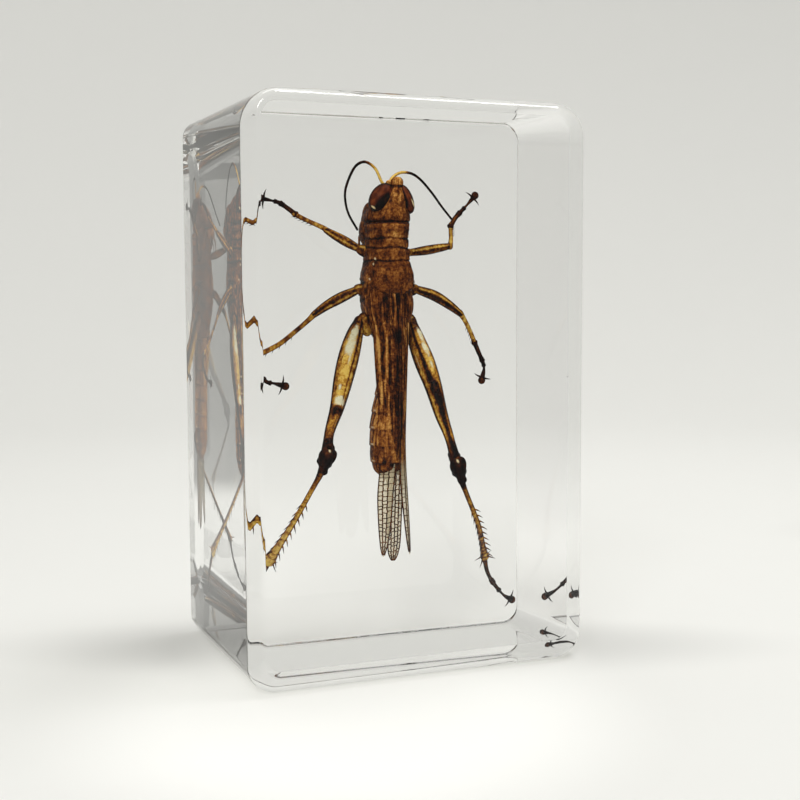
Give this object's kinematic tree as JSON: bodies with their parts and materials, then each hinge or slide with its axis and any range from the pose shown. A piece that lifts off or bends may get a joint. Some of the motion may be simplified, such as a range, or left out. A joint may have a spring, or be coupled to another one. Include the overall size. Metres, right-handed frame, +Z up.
{
  "type": "insect specimen in a clear resin block",
  "caption": "Grasshopper with folded wings, set spread out in an upright block of clear resin with rounded edges, standing as a desk or school specimen.",
  "frame": {"origin": "middle of the bottom face's outline, on the plane that the block stands on", "axes": "+Z up along the block's height, +Y towards the flat back face, -Y towards the rounded front face that shows the grasshopper's back, +X to the viewer's right"},
  "size_m": [0.0464, 0.034, 0.073],
  "materials": {
    "clear_resin": "polished, clear",
    "chitin": "glossy amber-brown shell"
  },
  "bodies": {
    "root": {"grasshopper": "chitin", "resin_front": "clear_resin", "resin_back": "clear_resin"}
  },
  "joints": []
}
